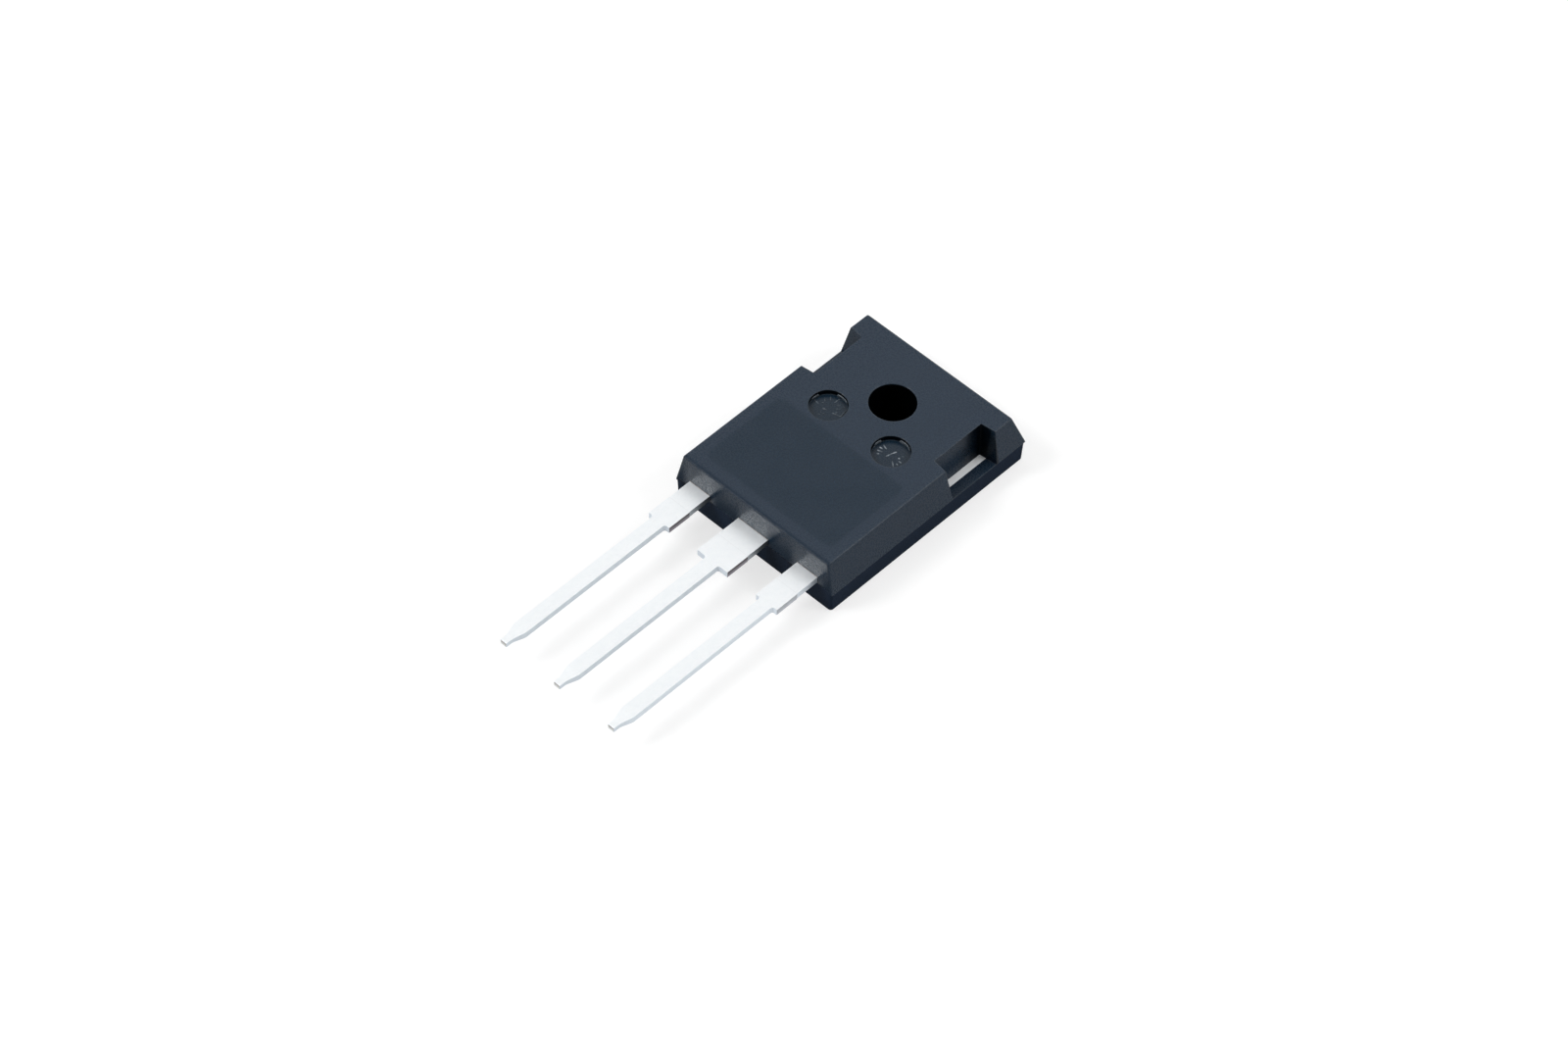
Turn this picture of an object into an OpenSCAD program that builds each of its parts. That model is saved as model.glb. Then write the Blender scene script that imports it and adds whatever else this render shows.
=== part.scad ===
// Insulated-gate bipolar transistor in a three-lead, screw-mounted power package.
// It lies on its back: Z = 0 is the plane of the heat slug and Z points out of the front face.
// The origin is on the axis of the mounting hole. +Y runs to the hole end, -Y to the lead tips.

/* [Moulded body] */
// Width across the parting line
body_w = 15.87; // [14.8:0.01:19.1]
// Length from the lead end to the hole end
body_l = 20.95; // [20:0.01:25.2]
// Height from the back to the front face
body_t = 4.85; // [4.4:0.01:5.9]
// Slope of the two long sides above the parting line, in degrees
side_draft = 11.9; // [3:0.1:14]
// Slope of the hole end above the parting line, in degrees
hole_end_draft = 19.8; // [3:0.1:22]
// Slope of the lead end above the leads, in degrees
lead_end_draft = 3; // [1:0.1:8]
// Slope of all four sides below the parting line, in degrees
base_draft = 2; // [0.5:0.1:4]
// Radius of the four upright corners above the parting line
corner_r = 0.12; // [0.1:0.01:0.4]
// Radius of the four upright corners below the parting line
base_corner_r = 0.28; // [0.15:0.01:0.6]
// Radius of the rims of the front face and the back
rim_r = 0.08; // [0.02:0.01:0.09]
// How far the upper half of the mould leaves the body proud of the lower half
parting_step = 0.03; // [0.01:0.005:0.06]

/* [Mounting hole] */
// Diameter of the screw hole
hole_d = 3.6; // [3:0.05:4.4]
// Distance from the hole's axis to the hole end of the body
hole_to_end = 6.13; // [5.2:0.01:7.4]
// Chamfer at the mouth of the hole
hole_chamfer = 0.07; // [0.02:0.01:0.3]
// Diameter of the plastic ring that lines the slug round the hole
ring_d = 7.2; // [6:0.05:8.2]

/* [Side notches] */
// Depth of a notch at the front face, from the widest line of the body
notch_depth = 1.9; // [1.5:0.01:2.3]
// Length of a notch along its inner wall, at the front face
notch_l = 5.1; // [3.5:0.01:6]
// How far the middle of the notches lies past the hole's axis, towards the hole end
notch_shift = 0.53; // [-0.5:0.01:0.9]
// Slope of the notch walls from the vertical, in degrees
notch_draft = 6.4; // [2:0.1:8]
// Splay of the notch's end walls, in degrees
notch_splay = 6.8; // [0:0.1:12]
// Radius of the notch's upright inner corners
notch_r = 0.06; // [0.03:0.01:0.4]

/* [Ejector marks] */
// Diameter of each round ejector-pin mark
mark_d = 3; // [2:0.1:3.6]
// Depth of the marks
mark_depth = 0.43; // [0.1:0.01:0.8]
// Sideways distance of each mark from the hole's axis
mark_x = 3.17; // [2.5:0.01:4]
// Distance of the marks from the hole's axis, towards the leads
mark_y = 3.58; // [3:0.01:5]

/* [Leads] */
// Distance between neighbouring leads
lead_pitch = 5.44; // [4.9:0.01:6.5]
// Thickness of the lead strip
lead_t = 0.57; // [0.4:0.01:0.8]
// Height of the leads' underside above the back
lead_level = 2.27; // [2.1:0.01:2.6]
// Length of the leads outside the body
lead_l = 20.1; // [14:0.1:25]
// Width of a lead past its shoulder
lead_w = 1.22; // [0.9:0.01:1.5]
// Length of the wide shoulder next to the body
shoulder_l = 4.25; // [3:0.05:5.2]
// Width of the two outer shoulders
shoulder_w = 2.04; // [1.7:0.01:2.5]
// Width of the middle shoulder
middle_shoulder_w = 3; // [2.4:0.01:3.7]
// Radius of the fillet where a shoulder steps down to the lead
shoulder_fillet = 0.2; // [0.05:0.01:0.4]
// Length of the trimmed dam-bar stubs at the outer end of a shoulder
dam_l = 2.14; // [1:0.01:2.5]
// How far these stubs stand out on each side of the shoulder
dam_out = 0.03; // [0.01:0.005:0.15]
// Length of the narrow straight end of a lead
tip_l = 0.62; // [0.3:0.01:1]
// Length of the taper behind it
taper_l = 1.04; // [0.5:0.01:1.5]
// Width of the narrow end
tip_w = 0.6; // [0.4:0.01:0.8]
// Thickness of the narrow end
tip_t = 0.42; // [0.3:0.01:0.55]
// Radius of the bends at both ends of the taper
taper_r = 1.6; // [0.2:0.1:3]
// Radius of the corners of a tip and of a shoulder
edge_r = 0.05; // [0.02:0.01:0.12]

/* [Heat slug] */
// Thickness of the slug, which is also the height of the parting line
slug_t = 1.9; // [1.6:0.01:2.05]
// Plastic wall beside the slug, from the widest line of the body
slug_side_wall = 0.985; // [0.8:0.005:1.3]
// Plastic wall between the slug and the lead end of the body
slug_lead_wall = 2.85; // [2.6:0.01:3.4]
// Plastic lip between the slug and the hole end of the body
slug_lip = 1.15; // [0.9:0.01:1.35]
// Radius of the slug's corners
slug_corner_r = 0.5; // [0.2:0.05:1]

/* [Bond posts inside the body] */
// Gap between the slug and the bond posts
post_gap = 0.55; // [0.4:0.01:0.8]
// Depth of a bond post along the lead
post_l = 1.5; // [1.2:0.01:1.7]
// Width of the gate post
gate_post_w = 3.5; // [2.5:0.01:3.8]
// Width of the emitter post
emitter_post_w = 4.7; // [4.4:0.01:4.9]
// Plastic wall between the outer edge of a post and the widest line of the body
post_wall = 0.95; // [0.8:0.01:1.3]

/* [Chips, solder and bond wires] */
// Width of the transistor chip
igbt_w = 6.2; // [5:0.1:6.4]
// Length of the transistor chip
igbt_l = 5.8; // [4:0.1:6.2]
// Width of the diode chip
diode_w = 4; // [3:0.1:4.4]
// Length of the diode chip
diode_l = 4; // [3:0.1:5]
// Thickness of both chips
chip_t = 0.2; // [0.08:0.01:0.3]
// Thickness of the solder under them
solder_t = 0.06; // [0.03:0.01:0.1]
// How far the solder stands out round a chip
solder_margin = 0.15; // [0.05:0.01:0.3]
// Gap between the chips and the slug's lead edge
chip_setback = 0.9; // [0.5:0.01:1.2]
// Gap between the diode chip and the slug's side edge
chip_side_gap = 1.1; // [0.8:0.01:1.3]
// Gap between the two chips
chip_gap = 1.5; // [0.4:0.1:2.2]
// Diameter of the emitter and diode wires
power_wire_d = 0.38; // [0.25:0.01:0.42]
// Diameter of the gate wire
gate_wire_d = 0.2; // [0.1:0.01:0.25]
// Distance between power wires along the post
power_wire_pitch = 0.9; // [0.75:0.01:0.95]
// Height of the arch of a power wire over the line between its ends
power_wire_rise = 1.15; // [0.9:0.01:1.3]
// Height of the arch of the gate wire
gate_wire_rise = 0.7; // [0.5:0.01:0.9]

/* [Hidden] */

$fn = 64;
hull_fn = 24;        // facets of the discs that the hulls are stretched over
skin = 0.01;         // thickness of those discs
through = 1;         // how far a cutter runs past what it cuts
wire_fn = 24;        // facets round a bond wire
rim_steps = 4;       // facets across the rounded rim of the front face
corner_steps = 6;    // chords in a rounded corner of an outline
corner_share = 0.48; // most of a side that the rounding of one corner may take up

hole_end_y = hole_to_end;
lead_end_y = hole_to_end - body_l;
tip_end_y = lead_end_y - lead_l;
narrow_y = tip_end_y + tip_l;
taper_y = narrow_y + taper_l;
half_w = body_w / 2;
upper_t = body_t - slug_t;

slug_w = body_w - 2 * slug_side_wall;
slug_end_y = hole_end_y - slug_lip;
slug_lead_y = lead_end_y + slug_lead_wall;
slug_l = slug_end_y - slug_lead_y;

lead_top = lead_level + lead_t;
post_inner_y = slug_lead_y - post_gap;
post_outer_y = post_inner_y - post_l;
post_edge_x = half_w - post_wall;
bond_y = (post_inner_y + post_outer_y) / 2;
neck_run = 0.35;     // straight part of the middle lead's neck at the slug's edge
neck_root = 0.4;     // how far the neck overlaps into the slug
bend_angle = 48;     // steepness of the neck's upward bend, in degrees
bend_r = 0.3;        // radius at both ends of that bend
bend_start_y = slug_lead_y - neck_run;
bend_end_y = bend_start_y - (lead_top - slug_t) / tan(bend_angle);

chip_top = slug_t + solder_t + chip_t;
chip_edge_y = slug_lead_y + chip_setback;
diode_x = slug_w / 2 - chip_side_gap - diode_w / 2;
diode_y = chip_edge_y + diode_l / 2;
igbt_x = diode_x - diode_w / 2 - chip_gap - igbt_w / 2;
igbt_y = chip_edge_y + igbt_l / 2;

// Bond places on the emitter post, counted from its outer edge towards the middle.
post_margin = 0.65;
function post_x(n) = post_edge_x - post_margin - n * power_wire_pitch;
// Bond place on the gate post, also taken from its outer edge.
gate_bond_inset = 1.835;
gate_bond_x = -(post_edge_x - gate_bond_inset);
// Bond places on the chips, taken from each chip's own edges.
igbt_bond_inset = 1.1;
igbt_bond_shift = 0.46;
igbt_bond_y = igbt_y - igbt_bond_shift;
diode_bond_inset = 0.9;
gate_pad_inset = 0.7;
// Size of the flattened foot of a bond, in wire diameters.
foot_l_in_d = 2.2;
foot_w_in_d = 1.3;
foot_t_in_d = 0.75;
foot_heel = 0.7;     // share of the foot that lies behind the start of the arch

// ---------------------------------------------------------------- rounded outlines

function turned(v, angle) = [
    v.x * cos(angle) - v.y * sin(angle),
    v.x * sin(angle) + v.y * cos(angle),
];

// Points of the arc of radius r that rounds one corner, cut short where a side is too short for it.
function corner_arc(before, corner, after, r) =
    let(
        back = (before - corner) / norm(before - corner),
        on = (after - corner) / norm(after - corner),
        half = acos(back * on) / 2,
        reach = min(
            r / tan(half),
            corner_share * norm(before - corner),
            corner_share * norm(after - corner)
        ),
        centre = corner + (back + on) / norm(back + on) * reach / cos(half),
        sweep = -sign(cross(back, on)) * (180 - 2 * half)
    )
    [
        for (step = [0 : corner_steps])
            centre + turned(corner + back * reach - centre, sweep * step / corner_steps)
    ];

// Outline through corners that are given as [x, y, radius]. A radius of 0 leaves a corner sharp.
function rounded_outline(corners) =
    let(
        count = len(corners),
        flat = [for (c = corners) [c[0], c[1]]]
    )
    [
        for (i = [0 : count - 1])
            each corners[i][2] == 0
                ? [flat[i]]
                : corner_arc(flat[(i + count - 1) % count], flat[i], flat[(i + 1) % count], corners[i][2])
    ];

// ---------------------------------------------------------------- outer form of the body

// Four thin discs at one height, in corners of radius r. insets are those of the sides, the hole
// end and the lead end, and shrink makes the discs smaller without moving them.
module corner_discs(z, insets, r, shrink = 0) {
    x = half_w - insets[0] - r;
    far_y = hole_end_y - insets[1] - r;
    near_y = lead_end_y + insets[2] + r;
    for (disc_x = [-x, x], disc_y = [near_y, far_y])
        translate([disc_x, disc_y, z])
            cylinder(r = r - shrink, h = skin, $fn = hull_fn);
}

// The parting line of the lead end, which rises to the underside of the leads.
module lead_end_ridge(inset) {
    ridge_l = body_w - 2 * base_corner_r;
    translate([-ridge_l / 2, lead_end_y + inset, lead_level - skin])
        cube([ridge_l, skin, skin]);
}

module lower_half() {
    foot = parting_step + slug_t * tan(base_draft);
    hull() {
        corner_discs(0, [foot, foot, foot], base_corner_r, rim_r);
        corner_discs(rim_r, [foot, foot, foot], base_corner_r);
        corner_discs(slug_t - skin, [parting_step, parting_step, parting_step], base_corner_r);
        lead_end_ridge(parting_step);
    }
}

module upper_half() {
    hull() {
        corner_discs(slug_t - skin, [0, 0, parting_step], corner_r);
        lead_end_ridge(0);
        for (step = [0 : rim_steps]) {
            turn = 90 * step / rim_steps;
            drop = rim_r * (1 - sin(turn));
            rise = upper_t - drop;
            corner_discs(
                body_t - drop - skin,
                [rise * tan(side_draft), rise * tan(hole_end_draft), rise * tan(lead_end_draft)],
                corner_r,
                rim_r * (1 - cos(turn))
            );
        }
    }
}

// The pocket in the +X side, open to the front and to the side, down to the slug's top.
module side_notch() {
    top_z = body_t + through;
    floor_x = half_w - notch_depth + upper_t * tan(notch_draft);
    top_x = floor_x - (top_z - slug_t) * tan(notch_draft);
    top_half = notch_l / 2 + through * tan(notch_draft);
    floor_half = top_half - (top_z - slug_t) * tan(notch_draft);
    mouth_x = half_w + through;
    intersection() {
        hull() {
            for (end = [-1, 1]) {
                translate([floor_x + notch_r, notch_shift + end * (floor_half - notch_r), slug_t - skin])
                    cylinder(r = notch_r, h = skin, $fn = hull_fn);
                translate([top_x + notch_r, notch_shift + end * (top_half - notch_r), top_z])
                    cylinder(r = notch_r, h = skin, $fn = hull_fn);
                floor_out = floor_half + (mouth_x - floor_x) * tan(notch_splay);
                top_out = top_half + (mouth_x - top_x) * tan(notch_splay);
                translate([mouth_x, notch_shift + end * (floor_out - notch_r), slug_t - skin])
                    cylinder(r = notch_r, h = skin, $fn = hull_fn);
                translate([mouth_x, notch_shift + end * (top_out - notch_r), top_z])
                    cylinder(r = notch_r, h = skin, $fn = hull_fn);
            }
        }
        translate([0, -body_l / 2, slug_t])
            cube([body_w, body_l, body_t]);
    }
}

module screw_hole() {
    translate([0, 0, -through])
        cylinder(d = hole_d, h = body_t + 2 * through);
    translate([0, 0, body_t - hole_chamfer])
        cylinder(
            d1 = hole_d,
            d2 = hole_d + 2 * (hole_chamfer + through),
            h = hole_chamfer + through
        );
}

module ejector_mark() {
    translate([mark_x, -mark_y, body_t - mark_depth])
        cylinder(d = mark_d, h = mark_depth + through);
}

// ---------------------------------------------------------------- leads

// Outline of one lead seen from the front, from the inside of the body to the tip.
module lead_outline(wide, inner_y) {
    step_y = lead_end_y - shoulder_l;
    dam_x = wide / 2 + dam_out;
    right_side = [
        [wide / 2, inner_y, 0],
        [wide / 2, step_y + dam_l, 0],
        [dam_x, step_y + dam_l, dam_out / 2],
        [dam_x, step_y, edge_r],
        [lead_w / 2, step_y, shoulder_fillet],
        [lead_w / 2, taper_y, taper_r],
        [tip_w / 2, narrow_y, taper_r],
        [tip_w / 2, tip_end_y, edge_r],
    ];
    left_side = [
        for (i = [len(right_side) - 1 : -1 : 0])
            [-right_side[i][0], right_side[i][1], right_side[i][2]]
    ];
    polygon(rounded_outline(concat(right_side, left_side)));
}

// Outline of a lead seen from the side: its two faces close in over the taper.
// rear holds the corners from the underside round the inner end to the top.
module lead_side(rear) {
    pinch = (lead_t - tip_t) / 2;
    polygon(rounded_outline(concat(
        [
            [tip_end_y, lead_top - pinch, edge_r],
            [tip_end_y, lead_level + pinch, edge_r],
            [narrow_y, lead_level + pinch, taper_r],
            [taper_y, lead_level, taper_r],
        ],
        rear,
        [
            [taper_y, lead_top, taper_r],
            [narrow_y, lead_top - pinch, taper_r],
        ]
    )));
}

// Turns a Y-Z outline into a slab that is centred across X.
module across(width) {
    translate([-width / 2, 0, 0])
        rotate([90, 0, 90])
            linear_extrude(width)
                children();
}

module lead_strip(wide, inner_y, rear) {
    intersection() {
        linear_extrude(body_t)
            lead_outline(wide, inner_y);
        across(wide + through)
            lead_side(rear);
    }
}

// An outer lead with its bond post, at x = side * lead_pitch. side is -1 or 1.
module outer_lead(side, post_w) {
    translate([side * lead_pitch, 0, 0])
        lead_strip(shoulder_w, bond_y, [
            [post_inner_y, lead_level, 0],
            [post_inner_y, lead_top, 0],
        ]);
    translate([side * (post_edge_x - post_w / 2), bond_y, lead_level])
        linear_extrude(lead_t)
            rounded_plate(post_w, post_l, lead_t / 2);
}

module rounded_plate(w, l, r) {
    square([w - 2 * r, l], center = true);
    square([w, l - 2 * r], center = true);
    for (x = [-1, 1], y = [-1, 1])
        translate([x * (w / 2 - r), y * (l / 2 - r)])
            circle(r = r);
}

// ---------------------------------------------------------------- slug with the middle lead

module slug() {
    difference() {
        translate([0, (slug_end_y + slug_lead_y) / 2, 0])
            linear_extrude(slug_t)
                rounded_plate(slug_w, slug_l, slug_corner_r);
        translate([0, 0, -through])
            cylinder(d = ring_d, h = slug_t + 2 * through);
    }
}

module middle_lead() {
    lead_strip(middle_shoulder_w, slug_lead_y + neck_root, [
        [bend_end_y, lead_level, bend_r],
        [bend_start_y, slug_t - lead_t, bend_r],
        [slug_lead_y + neck_root, slug_t - lead_t, 0],
        [slug_lead_y + neck_root, slug_t, 0],
        [bend_start_y, slug_t, bend_r],
        [bend_end_y, lead_top, bend_r],
    ]);
}

// ---------------------------------------------------------------- chips and wires

module chip(x, y, w, l) {
    translate([x - w / 2, y - l / 2, slug_t + solder_t])
        cube([w, l, chip_t]);
}

module solder_pad(x, y, w, l) {
    translate([x - w / 2 - solder_margin, y - l / 2 - solder_margin, slug_t])
        cube([w + 2 * solder_margin, l + 2 * solder_margin, solder_t]);
}

// The flattened end of a bonded wire, on its pad at the origin, with the wire leaving along +X.
module bond_foot(d) {
    foot_l = foot_l_in_d * d;
    foot_w = foot_w_in_d * d;
    translate([-foot_heel * foot_l, -foot_w / 2, 0])
        cube([foot_l, foot_w, foot_t_in_d * d]);
}

// A wire that arches over a circular arc between two pads, with its own rise over the chord.
module bond_wire(from, to, d, rise) {
    run = norm([to.x - from.x, to.y - from.y]);
    climb = to.z - from.z;
    chord = norm([run, climb]);
    loop_r = (chord * chord / 4 + rise * rise) / (2 * rise);
    half_sweep = asin(chord / (2 * loop_r));
    translate(from)
        rotate([0, 0, atan2(to.y - from.y, to.x - from.x)]) {
            bond_foot(d);
            translate([run, 0, climb])
                rotate([0, 0, 180])
                    bond_foot(d);
            translate([0, 0, d / 2])
                rotate([0, -atan2(climb, run), 0])
                    translate([chord / 2, 0, rise - loop_r])
                        rotate([90, 0, 0])
                            rotate([0, 0, 90 - half_sweep])
                                rotate_extrude(angle = 2 * half_sweep)
                                    translate([loop_r, 0])
                                        circle(d = d, $fn = wire_fn);
        }
}

// Places 0 and 1 on the emitter post serve the diode, and places 2 to 4 the transistor chip.
module diode_wire(n) {
    bond_wire(
        [diode_x + diode_w / 2 - diode_bond_inset - n * power_wire_pitch, diode_y, chip_top],
        [post_x(n), bond_y, lead_top],
        power_wire_d,
        power_wire_rise
    );
}

module emitter_wire(n) {
    bond_wire(
        [igbt_x + igbt_w / 2 - igbt_bond_inset - n * power_wire_pitch, igbt_bond_y, chip_top],
        [post_x(n + 2), bond_y, lead_top],
        power_wire_d,
        power_wire_rise
    );
}

module gate_wire_shape() {
    pad_x = igbt_x - igbt_w / 2 + gate_pad_inset;
    bond_wire(
        [pad_x, igbt_y - igbt_l / 2 + gate_pad_inset, chip_top],
        [gate_bond_x, bond_y, lead_top],
        gate_wire_d,
        gate_wire_rise
    );
}

// ---------------------------------------------------------------- the pieces

module collector_frame() {
    color("#d5d9dc") {
        slug();
        middle_lead();
    }
}

module gate_lead() {
    color("#dfe3e6") outer_lead(-1, gate_post_w);
}

module emitter_lead() {
    color("#dfe3e6") outer_lead(1, emitter_post_w);
}

module igbt_chip() {
    color("#6a6f7c") chip(igbt_x, igbt_y, igbt_w, igbt_l);
}

module igbt_solder() {
    color("#a9abad") solder_pad(igbt_x, igbt_y, igbt_w, igbt_l);
}

module diode_chip() {
    color("#6a6f7c") chip(diode_x, diode_y, diode_w, diode_l);
}

module diode_solder() {
    color("#a9abad") solder_pad(diode_x, diode_y, diode_w, diode_l);
}

module gate_wire() {
    color("#e3e4e6") gate_wire_shape();
}

module emitter_wire_1() {
    color("#e3e4e6") emitter_wire(0);
}

module emitter_wire_2() {
    color("#e3e4e6") emitter_wire(1);
}

module emitter_wire_3() {
    color("#e3e4e6") emitter_wire(2);
}

module diode_wire_1() {
    color("#e3e4e6") diode_wire(0);
}

module diode_wire_2() {
    color("#e3e4e6") diode_wire(1);
}

// Everything that the plastic is moulded round.
module embedded_pieces() {
    collector_frame();
    gate_lead();
    emitter_lead();
    igbt_chip();
    igbt_solder();
    diode_chip();
    diode_solder();
    gate_wire();
    for (n = [0 : 2])
        emitter_wire(n);
    for (n = [0 : 1])
        diode_wire(n);
}

module moulded_body() {
    color("#353d49")
        difference() {
            union() {
                lower_half();
                upper_half();
            }
            screw_hole();
            for (side = [0, 1])
                mirror([side, 0, 0]) {
                    side_notch();
                    ejector_mark();
                }
            embedded_pieces();
        }
}

moulded_body();
collector_frame();
gate_lead();
emitter_lead();
igbt_chip();
igbt_solder();
diode_chip();
diode_solder();
gate_wire();
emitter_wire_1();
emitter_wire_2();
emitter_wire_3();
diode_wire_1();
diode_wire_2();
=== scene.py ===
"""Looks of a three-lead, screw-mounted power transistor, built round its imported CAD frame.

Everything is in metres in the frame of the part: the origin is on the axis of the mounting
hole, Z = 0 is the back plane, +Z points out of the front face and -Y runs to the lead tips.
"""

import math

import bmesh
import bpy
from mathutils import Matrix, Vector


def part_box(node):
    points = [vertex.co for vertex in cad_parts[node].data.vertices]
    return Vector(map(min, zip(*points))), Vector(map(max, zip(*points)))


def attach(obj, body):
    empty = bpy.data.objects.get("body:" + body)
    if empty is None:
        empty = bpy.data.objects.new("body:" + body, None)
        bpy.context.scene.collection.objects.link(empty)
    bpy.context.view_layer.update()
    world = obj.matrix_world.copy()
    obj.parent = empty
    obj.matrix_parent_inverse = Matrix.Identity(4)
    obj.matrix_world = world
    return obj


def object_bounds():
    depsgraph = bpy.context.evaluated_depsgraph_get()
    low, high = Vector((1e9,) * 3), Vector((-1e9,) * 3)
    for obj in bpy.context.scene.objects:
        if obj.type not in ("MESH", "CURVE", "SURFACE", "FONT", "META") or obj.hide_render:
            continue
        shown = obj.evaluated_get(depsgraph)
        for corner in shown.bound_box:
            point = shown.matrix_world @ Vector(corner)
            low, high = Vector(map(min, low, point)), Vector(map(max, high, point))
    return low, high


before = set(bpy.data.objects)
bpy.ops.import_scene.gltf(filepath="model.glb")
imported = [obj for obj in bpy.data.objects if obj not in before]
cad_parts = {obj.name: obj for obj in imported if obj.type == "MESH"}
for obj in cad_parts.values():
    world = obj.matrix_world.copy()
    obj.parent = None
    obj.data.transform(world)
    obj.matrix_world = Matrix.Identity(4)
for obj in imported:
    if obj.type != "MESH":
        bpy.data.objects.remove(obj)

CAD_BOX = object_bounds()
MM = 0.001

# ---------------------------------------------------------------- places taken from the frame

BODY_LOW, BODY_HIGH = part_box("moulded_body")
EMITTER_LOW, EMITTER_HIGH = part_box("emitter_lead")

# The rest is in millimetres, as the materials read the surface.
TOP = BODY_HIGH.z / MM
LEAD_END = BODY_LOW.y / MM
LEAD_TOP = EMITTER_HIGH.z / MM
TIP = EMITTER_LOW.y / MM
# The parting line, which is higher at the lead end.
PARTING = 1.9
FLASH_LEVEL = 2.27
HOLE_RADIUS = 1.8
# The two ejector marks, to both sides of the middle.
MARK_X = 3.17
MARK_Y = -3.58
MARK_RADIUS = 1.5
MARK_DEPTH = 0.43
MARK_FLOOR = TOP - MARK_DEPTH

# ---------------------------------------------------------------- camera

# Angles are in degrees.
CAMERA_AZIMUTH = 42.25
CAMERA_ELEVATION = 50.18
CAMERA_ROLL = 2.03
CAMERA_DISTANCE = 400 * MM
CAMERA_TARGET = Vector((0.732, -12.289, 2.0)) * MM
CAMERA_LENS = 125.55
SENSOR_WIDTH = 36.0
CLIP_NEAR = 0.01
CLIP_FAR = 20


def direction(azimuth, elevation):
    """The way from the part to a camera or lamp, in degrees: azimuth 0 is -Y, and 90 is +X."""
    turn = math.radians(azimuth)
    rise = math.radians(elevation)
    flat = math.cos(rise)
    return Vector((math.sin(turn) * flat, -math.cos(turn) * flat, math.sin(rise)))


def add_camera():
    back = direction(CAMERA_AZIMUTH, CAMERA_ELEVATION)
    right = direction(CAMERA_AZIMUTH + 90, 0)
    up = back.cross(right)
    roll = math.radians(CAMERA_ROLL)
    axis_x = right * math.cos(roll) + up * math.sin(roll)
    axis_y = up * math.cos(roll) - right * math.sin(roll)
    turn = Matrix((axis_x, axis_y, back)).transposed().to_4x4()
    data = bpy.data.cameras.new("camera")
    data.sensor_width = SENSOR_WIDTH
    data.lens = CAMERA_LENS
    data.clip_start = CLIP_NEAR
    data.clip_end = CLIP_FAR
    camera = bpy.data.objects.new("camera", data)
    camera.matrix_world = Matrix.Translation(CAMERA_TARGET + back * CAMERA_DISTANCE) @ turn
    bpy.context.scene.collection.objects.link(camera)
    bpy.context.scene.camera = camera


# ---------------------------------------------------------------- node graphs


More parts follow.
